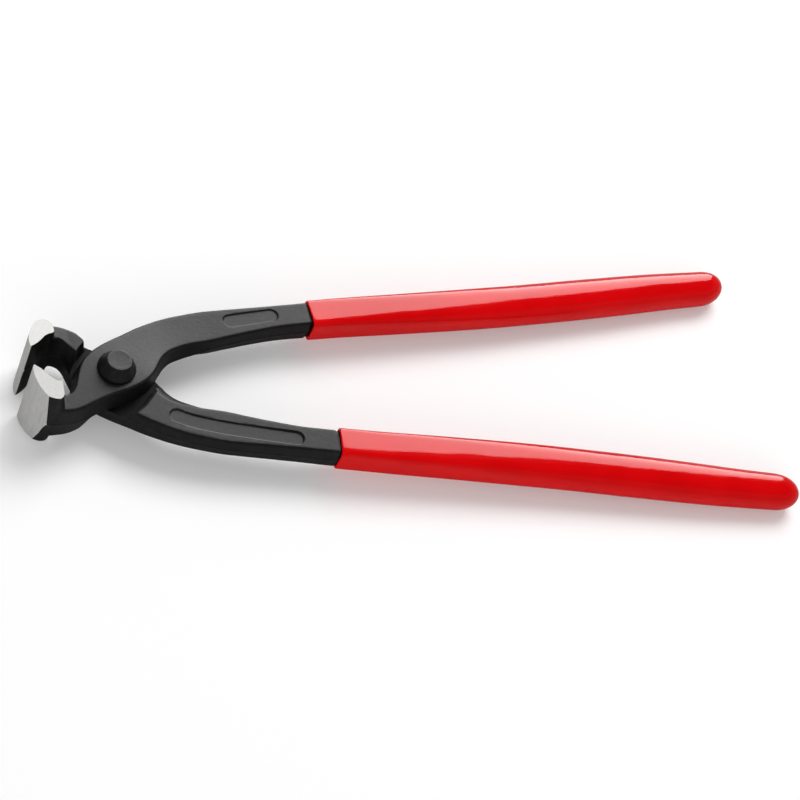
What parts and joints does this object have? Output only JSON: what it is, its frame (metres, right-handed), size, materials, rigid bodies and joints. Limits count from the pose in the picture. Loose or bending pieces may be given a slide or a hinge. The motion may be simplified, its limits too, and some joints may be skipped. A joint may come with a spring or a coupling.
{
  "type": "rebar tying pliers",
  "caption": "End-cutting nippers for tying steel fixing wire, with black forged steel levers joined by a rivet and long red dipped grips.",
  "frame": {"origin": "centre of the rivet's lower flat face, on the hinge axis", "axes": "+X along the tool's long axis from the rivet towards the handles; +Y towards the upper lever's handle; +Z along the hinge axis, out of the rivet's upper flat face"},
  "size_m": [0.2803, 0.105, 0.028],
  "materials": {
    "black_oxide_steel": "black oxide over forged steel, satin, with bare ground cutting jaws",
    "rivet_steel": "black oxide, satin",
    "red_vinyl": "dipped soft plastic, glossy"
  },
  "bodies": {
    "upper": {"upper_lever": "black_oxide_steel", "upper_grip": "red_vinyl", "pivot_rivet": "rivet_steel"},
    "lower": {"lower_lever": "black_oxide_steel", "lower_grip": "red_vinyl"}
  },
  "joints": [
    {"name": "lever_pivot", "type": "hinge", "parent": "upper", "child": "lower", "pos_m": [0, 0, 0.012], "axis": [0, 0, 1], "range_deg": [-35, 14.2]}
  ]
}
